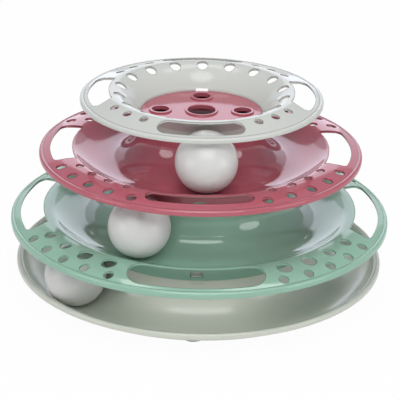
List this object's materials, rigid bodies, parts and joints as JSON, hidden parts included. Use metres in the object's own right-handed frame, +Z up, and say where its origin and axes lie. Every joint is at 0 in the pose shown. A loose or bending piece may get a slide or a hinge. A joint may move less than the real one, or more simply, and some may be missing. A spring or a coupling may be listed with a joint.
{
  "type": "cat ball track toy",
  "caption": "Round tower of stacked glossy ring tracks with pierced domed flanges and an open bowl on top; a loose ball runs round in each track for a cat to bat.",
  "frame": {"origin": "on the tower's axis, at the level of the surface that the feet stand on", "axes": "+Z up along the tower's axis, -Y towards the front of the picture, +X to its right"},
  "size_m": [0.25, 0.25, 0.1327],
  "materials": {
    "base_dish": "smooth moulded plastic, high gloss",
    "lower_track_ring": "smooth moulded plastic, high gloss",
    "middle_track_ring": "smooth moulded plastic, high gloss",
    "top_ring": "smooth moulded plastic, high gloss",
    "ball": "pearl gloss",
    "rubber_foot": "matte rubber"
  },
  "bodies": {
    "tower": {"base_dish": "base_dish", "lower_track_ring": "lower_track_ring", "middle_track_ring": "middle_track_ring", "top_ring": "top_ring", "rubber_foot_front": "rubber_foot", "rubber_foot_right": "rubber_foot", "rubber_foot_back": "rubber_foot", "rubber_foot_left": "rubber_foot"},
    "lower_ball": {"lower_ball": "ball"},
    "middle_ball": {"middle_ball": "ball"},
    "upper_ball": {"upper_ball": "ball"}
  },
  "joints": [
    {"name": "lower_ball_run", "type": "hinge", "parent": "tower", "child": "lower_ball", "pos_m": [0, 0, 0], "axis": [0, 0, 1], "continuous": true},
    {"name": "middle_ball_run", "type": "hinge", "parent": "tower", "child": "middle_ball", "pos_m": [0, 0, 0], "axis": [0, 0, 1], "continuous": true},
    {"name": "upper_ball_run", "type": "hinge", "parent": "tower", "child": "upper_ball", "pos_m": [0, 0, 0], "axis": [0, 0, 1], "continuous": true}
  ]
}
